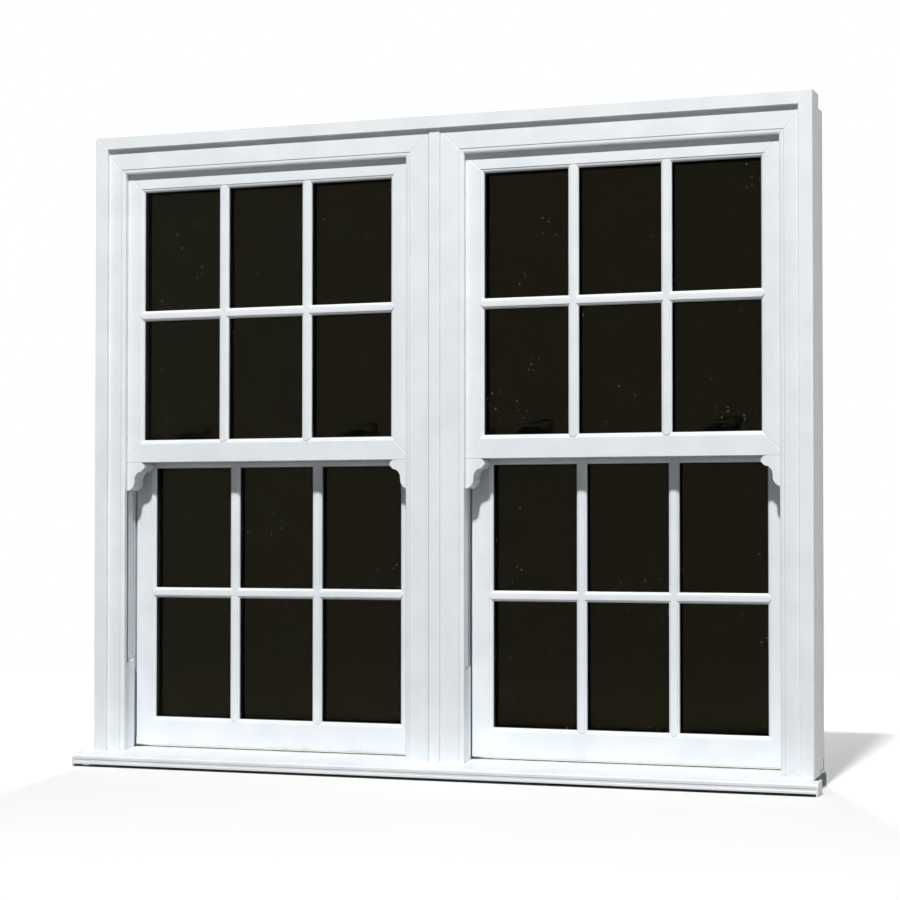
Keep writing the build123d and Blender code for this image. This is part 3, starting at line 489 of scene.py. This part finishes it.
def whiteWorld():
    # white where it is seen, and a dim fill for the object
    world = bpy.data.worlds.new("studio")
    bpy.context.scene.world = world
    world.use_nodes = True
    tree = world.node_tree
    tree.nodes.clear()
    back = addNode(tree, "Background", inputs={
        "Color": white, "Strength": whiteWhereSeen(tree, studio["world"])})
    addNode(tree, "OutputWorld", inputs={"Surface": back})


def paleFloor():
    # paper just under the object; what it throws back up is held down, so that undersides stay in shade,
    # and beyond the shadow it fades into the white of the background
    material, tree, coords = startMaterial("palePaper")
    pale = addNode(tree, "Mix", {"data_type": "RGBA"}, {
        0: patches(tree, coords, studio["mottleMm"]), 6: toLinear(studio["floor"]),
        7: toLinear(studio["mottle"])})
    seen = whiteWhereSeen(tree, 0.0)
    colour = addNode(tree, "Mix", {"data_type": "RGBA"}, {0: seen, 6: toLinear(studio["bounce"]), 7: pale})
    paper = addNode(tree, "BsdfPrincipled", inputs={"Base Color": colour, "Roughness": 0.85})
    away = addNode(tree, "VectorMath", {"operation": "LENGTH"}, {0: coords}).outputs["Value"]
    fade = addNode(tree, "MapRange", inputs={
        "Value": away, "From Min": studio["fadeFrom"], "From Max": studio["fadeTo"]})
    share = addNode(tree, "Math", {"operation": "MULTIPLY"}, {0: fade, 1: seen})
    glow = addNode(tree, "Emission", inputs={"Color": white, "Strength": 1.0})
    blend = addNode(tree, "MixShader", inputs={0: share, 1: paper, 2: glow})
    addNode(tree, "OutputMaterial", inputs={"Surface": blend})
    mesh = bpy.data.meshes.new("floor")
    half = studio["floorSize"] / 2
    corners = [(-half, -half, 0), (half, -half, 0), (half, half, 0), (-half, half, 0)]
    mesh.from_pydata(corners, [], [(0, 1, 2, 3)])
    mesh.materials.append(material)
    floor = bpy.data.objects.new("floor", mesh)
    floor.location = (0, 0, cadBox[0][2] - studio["floorGap"])
    bpy.context.scene.collection.objects.link(floor)


aimCamera()
whiteWorld()
paleFloor()
for name, lamp in studio["lamps"].items():
    softLight(name, lamp)
bpy.context.scene.view_settings.view_transform = "Standard"
print("camera and studio ready")


# Weld seams at the mitres

glassCover = 0.014  # how far a sash laps over the edges of its panes
seams = {
    "litWidth": 0.0014, "shadeWidth": 0.0008, "rise": 0.0004, "lift": 0.00004,
    "stile": 0.0475, "stileRound": 0.0012, "trimWidth": 0.0295, "trimRound": 0.0006,
    # how far back the outdoor face lies, at distances from the outer edge of a stile
    "sashAcross": [0.0, 0.0012, 0.0395, 0.0405, 0.0435, 0.04547, 0.0468, 0.0475],
    "sashBack": [0.0012, 0.0, 0.0, 0.0018, 0.00236, 0.00345, 0.0053, 0.0075],
    # and of the frame, from its inner edge
    "frameAcross": [0.0002, 0.0032, 0.0090, 0.0097, 0.0645],
    "frameBack": [0.0030, 0.0011, 0.0006, 0.0, 0.0], "frameIndoors": 0.014,
    # and of a glazing bead indoors, from its outer edge
    "beadAcross": [0.0, 0.0106, 0.0162, 0.0186],
    "beadBack": [0.0, 0.0, 0.0024, 0.0080],
}


def seamRibbon(corner, wayX, wayZ, across, back, faceY, wayY, side):
    # half a ribbon up the mitre: across is the run along X and Z alike, back the depth behind faceY;
    # its edges are the mitre and a line beside it, towards the stile (side 1) or the rail (side -1).
    # The lit half is the lower one, whose far edge stands up so that it faces the light, and is coloured as a
    # painted highlight; the other half is coloured as painted shade
    run = np.array(across)
    depth = np.array(back)
    lit = side * wayZ > 0
    width = seams["litWidth"] if lit else seams["shadeWidth"]
    points = np.empty((len(run), 2, 3))
    for i, offset in enumerate(sorted((0.0, side * width))):
        height = seams["lift"] + (seams["rise"] if lit and offset else 0.0)
        points[:, i, 0] = corner[0] + wayX * (run + offset)
        points[:, i, 1] = faceY + wayY * (depth - height)
        points[:, i, 2] = corner[1] + wayZ * (run - offset)
    index = np.arange(len(run) * 2).reshape(-1, 2)
    faces = np.stack([index[:-1, 0], index[:-1, 1], index[1:, 1], index[1:, 0]], -1)
    if wayX * wayZ * wayY < 0:
        faces = faces[:, ::-1]
    return points.reshape(-1, 3), faces


def placeSeams(name, body, strips):
    # strips are the arguments of seamRibbon without the side; the lit half of each takes the painted
    # highlight finish, the other the painted shade finish
    halves = {"seamLight": [], "seamShade": []}
    for strip in strips:
        for side in (-1, 1):
            lit = side * strip[2] > 0
            halves["seamLight" if lit else "seamShade"].append(seamRibbon(*strip, side))
    for finish, parts in halves.items():
        points, faces = joinParts(parts)
        place(meshOf(name + finish[4:], points, faces, finish), body)


def sashSeams(side, level):
    # each corner has a run over the stepped edge outdoors, except at a lower sash's bottom corners, and
    # indoors one over the bead and one over the flat stile
    prefix = side + "_" + level
    low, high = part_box(prefix + "_sash")
    paneLow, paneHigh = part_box(prefix + "_panes")
    stile, beadEdge = seams["stile"], seams["beadAcross"][-1]
    sight = {-1: (low.x + stile, paneLow.z + glassCover), 1: (high.x - stile, paneHigh.z - glassCover)}
    across = stile - np.array(seams["sashAcross"])
    beadRun = beadEdge - np.array(seams["beadAcross"])
    flat = np.array([beadEdge, stile - seams["stileRound"], stile])
    strips = []
    for wayX in (-1, 1):
        for wayZ in (-1, 1):
            corner = (sight[wayX][0], sight[wayZ][1])
            if level == "upper" or wayZ > 0:
                strips.append((corner, wayX, wayZ, across, seams["sashBack"], low.y, 1))
            strips.append((corner, wayX, wayZ, beadRun, seams["beadBack"], high.y, -1))
            strips.append((corner, wayX, wayZ, flat, [0.0, 0.0, seams["stileRound"]], high.y, -1))
    placeSeams(prefix + "_weld", prefix, strips)


def frameSeams(side):
    # the two top mitres of a frame: over the nose and the flat face outdoors, and over the flat indoors
    low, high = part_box(side + "_head")
    face = seams["frameAcross"][-1]
    strips = []
    for wayX in (-1, 1):
        edge = low.x if wayX < 0 else high.x
        corner = (edge - wayX * face, high.z - face)
        strips.append((corner, wayX, 1, seams["frameAcross"], seams["frameBack"], low.y, 1))
        strips.append((corner, wayX, 1, [seams["frameIndoors"], face], [0.0, 0.0], high.y, -1))
    placeSeams(side + "_frameWeld", "frame", strips)


def trimSeams():
    # the mitres of the outdoor trim, across its flat between the rounded edges
    low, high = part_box("trim_head")
    width = seams["trimWidth"]
    run = [seams["trimRound"], width - seams["trimRound"]]
    strips = [((edge - wayX * width, high.z - width), wayX, 1, run, [0.0, 0.0], low.y, 1)
              for wayX, edge in ((-1, low.x), (1, high.x))]
    placeSeams("trimJoint", "frame", strips)


for side in sides:
    frameSeams(side)
    for level in levels:
        sashSeams(side, level)
trimSeams()
print("weld seams done")


# Glazing gaskets

gaskets = {"outdoorWidth": 0.0011, "indoorWidth": 0.0024, "proud": 0.0008}


def gasketFrame(sightLow, sightHigh, y0, y1, width):
    # four bars inside a rectangle, between two depths
    x0, z0 = sightLow
    x1, z1 = sightHigh
    ends = [((x0, y0, z0), (x0 + width, y1, z1)), ((x1 - width, y0, z0), (x1, y1, z1)),
            ((x0 + width, y0, z0), (x1 - width, y1, z0 + width)),
            ((x0 + width, y0, z1 - width), (x1 - width, y1, z1))]
    return joinParts([boxPoints(low, high) for low, high in ends])


def glazingGaskets(side, level):
    # a thin line of rubber round the glass outdoors, and a wider and prouder one indoors
    prefix = side + "_" + level
    paneLow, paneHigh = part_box(prefix + "_panes")
    g = gaskets
    low = (paneLow.x + glassCover, paneLow.z + glassCover)
    high = (paneHigh.x - glassCover, paneHigh.z - glassCover)
    outdoors = gasketFrame(low, high, paneLow.y - g["proud"], paneLow.y, g["outdoorWidth"])
    indoors = gasketFrame(low, high, paneHigh.y, paneHigh.y + g["proud"] * 2, g["indoorWidth"])
    points, faces = joinParts([outdoors, indoors])
    place(meshOf(prefix + "_gaskets", points, faces, "gasket"), prefix)


for side in sides:
    for level in levels:
        glazingGaskets(side, level)
print("gaskets done")


# Lines of painted shade along grooves and joints

grooveShadeLines = {
    "headWidth": 0.0013, "jambWidth": 0.0008, "fromEdge": 0.0096, "lift": 0.00005, "footRise": 0.004,
    "coverGap": 0.0009, "coverEdge": 0.0012, "coverFace": 0.001,
}


def flatStrip(x0, x1, z0, z1, y):
    # one upright face that looks outdoors
    return np.array([(x0, y, z0), (x1, y, z0), (x1, y, z1), (x0, y, z1)]), np.array([(0, 1, 2, 3)])


def frameLines(side):
    # a line of painted shade along the groove that sets the nose of the frame off from its flat face: wider
    # and darker under the head, finer and paler up the jambs
    j = grooveShadeLines
    low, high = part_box(side + "_head")
    face = seams["frameAcross"][-1]
    y = low.y - j["lift"]
    x0, x1 = low.x + face - j["fromEdge"], high.x - face + j["fromEdge"]
    z = low.z + j["fromEdge"]
    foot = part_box(side + "_jamb_outer")[0].z + j["footRise"]
    points, faces = flatStrip(x0 - j["headWidth"], x1 + j["headWidth"], z, z + j["headWidth"], y)
    place(meshOf(side + "_headLine", points, faces, "grooveShade"), "frame")
    points, faces = joinParts([flatStrip(x0 - j["jambWidth"], x0, foot, z, y),
                               flatStrip(x1, x1 + j["jambWidth"], foot, z, y)])
    place(meshOf(side + "_jambLines", points, faces, "seamShade"), "frame")


def coverLines():
    # and painted shade lines in the joints at both edges of the cover strip, whose half width is read from
    # the coupler's front
    j = grooveShadeLines
    cover = nodes["frame_coupler"].data
    places = np.empty(len(cover.vertices) * 3, np.float32)
    cover.vertices.foreach_get("co", places)
    places = places.reshape(-1, 3)
    front = places[places[:, 1] < places[:, 1].min() + j["coverFace"]]
    half = abs(front[:, 0]).max() + j["coverEdge"]
    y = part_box("left_head")[0].y - j["lift"]
    foot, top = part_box("left_jamb_outer")[0].z + j["footRise"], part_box("trim_head")[0].z
    strips = [flatStrip(x - j["coverGap"] / 2, x + j["coverGap"] / 2, foot, top, y) for x in (-half, half)]
    points, faces = joinParts(strips)
    place(meshOf("coverLines", points, faces, "grooveShade"), "frame")


for side in sides:
    frameLines(side)
coverLines()
print("joint lines done")


# Seal under the bottom rails

seal = {"inset": 0.0008, "drop": 0.0024, "back": 0.0012, "depth": 0.006, "round": 0.0010, "steps": 6}


def bottomSeal(side):
    # a lip with a rounded toe, hung under the rail behind its face: the profile goes down, round the toe,
    # back and up, and is carried along X
    s = seal
    low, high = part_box(side + "_lower_sash")
    front, back, toe = low.y + s["back"], low.y + s["back"] + s["depth"], low.z - s["drop"]
    angle = np.linspace(0, np.pi / 2, s["steps"])
    profileY = np.concatenate([[front], front + s["round"] * (1 - np.cos(angle)),
                               back - s["round"] * (1 - np.sin(angle)), [back]])
    profileZ = np.concatenate([[low.z], toe + s["round"] * (1 - np.sin(angle)),
                               toe + s["round"] * (1 - np.cos(angle)), [low.z]])
    count = len(profileY)
    ends = [np.full(count, low.x + s["inset"]), np.full(count, high.x - s["inset"])]
    points = np.concatenate([np.stack([x, profileY, profileZ], -1) for x in ends])
    index = np.arange(count)
    after = np.roll(index, -1)
    faces = [list(face) for face in np.stack([index, after, after + count, index + count], -1)]
    faces += [list(index[::-1]), list(index + count)]
    place(meshOf(side + "_bottomSeal", points, faces, "seal"), side + "_lower")


for side in sides:
    bottomSeal(side)
print("seals done")


# Screws

screws = {
    "radius": 0.0036, "inner": 0.00005, "dome": 0.0011, "slotDepth": 0.0009, "slotWidth": 0.0008,
    "slotReach": 0.0021, "rings": 12, "turns": 40,
    # where they sit: keeps and lock bases from a claw's hub, lifts from the middle of the sash
    "plate": 0.003, "keepFromHub": 0.030, "keepHoles": (-0.026, 0.006), "keepRise": 0.019,
    "baseHoles": (-0.033, -0.0455), "baseUnderHub": 0.0055,
    "liftFromMiddle": 0.150, "liftHoles": (-0.02, 0.02), "liftDrop": 0.008,
}


def screwHead(centre, axis):
    # dome over a disc: height falls with the square of the radius, and a cross of two slots is pressed in
    s = screws
    radius = np.linspace(s["inner"], s["radius"], s["rings"])[:, None]
    angle = np.linspace(0, 2 * np.pi, s["turns"], endpoint=False)[None, :]
    u, v = radius * np.cos(angle), radius * np.sin(angle)
    height = s["dome"] * (1 - (radius / s["radius"]) ** 2) + 0 * angle
    inSlot = ((abs(u) < s["slotWidth"]) | (abs(v) < s["slotWidth"])) & (radius < s["slotReach"])
    height = np.where(inSlot, height - s["slotDepth"], height)
    turn = np.array(Vector(axis).to_track_quat("Z", "Y").to_matrix())
    points = np.stack([u, v, height], -1) @ turn.T + np.array(centre)
    rows, columns = points.shape[:2]
    index = np.arange(rows * columns).reshape(rows, columns)
    here, after = index[:-1], index[1:]
    faces = np.stack([here, after, np.roll(after, -1, 1), np.roll(here, -1, 1)], -1).reshape(-1, 4)
    return points.reshape(-1, 3), faces


def screwSet(name, body, places, axis):
    # the screws of one kind on a sash, all facing along the axis
    points, faces = joinParts([screwHead(centre, axis) for centre in places])
    place(meshOf(name, points, faces, "brass", smooth=True), body)


def lockScrews(side):
    # two screws in each keep, lock base and lift
    s = screws
    headLow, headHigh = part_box(side + "_head")
    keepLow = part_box(side + "_upper_keeps")[0]
    liftLow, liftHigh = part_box(side + "_lower_lifts")
    hubs = {j["child"]: j["pos_m"] for j in frame["joints"] if j["type"] == "hinge"}
    keepY, keepZ = keepLow.y + s["plate"], keepLow.z + s["keepRise"]
    liftY, liftZ = liftLow.y + s["plate"], liftHigh.z - s["liftDrop"]
    keeps, bases, lifts = [], [], []
    for way, word in ((-1, "left"), (1, "right")):
        hubX, hubY, hubZ = hubs[side + "_claw_" + word]
        liftX = (headLow.x + headHigh.x) / 2 + way * s["liftFromMiddle"]
        keeps += [(hubX - s["keepFromHub"] + hole, keepY, keepZ) for hole in s["keepHoles"]]
        bases += [(hubX + hole, hubY, hubZ - s["baseUnderHub"]) for hole in s["baseHoles"]]
        lifts += [(liftX + hole, liftY, liftZ) for hole in s["liftHoles"]]
    screwSet(side + "_keepScrews", side + "_upper", keeps, (0, 1, 0))
    screwSet(side + "_lockScrews", side + "_lower", bases, (0, 0, 1))
    screwSet(side + "_liftScrews", side + "_lower", lifts, (0, 1, 0))


for side in sides:
    lockScrews(side)
print("screws done")
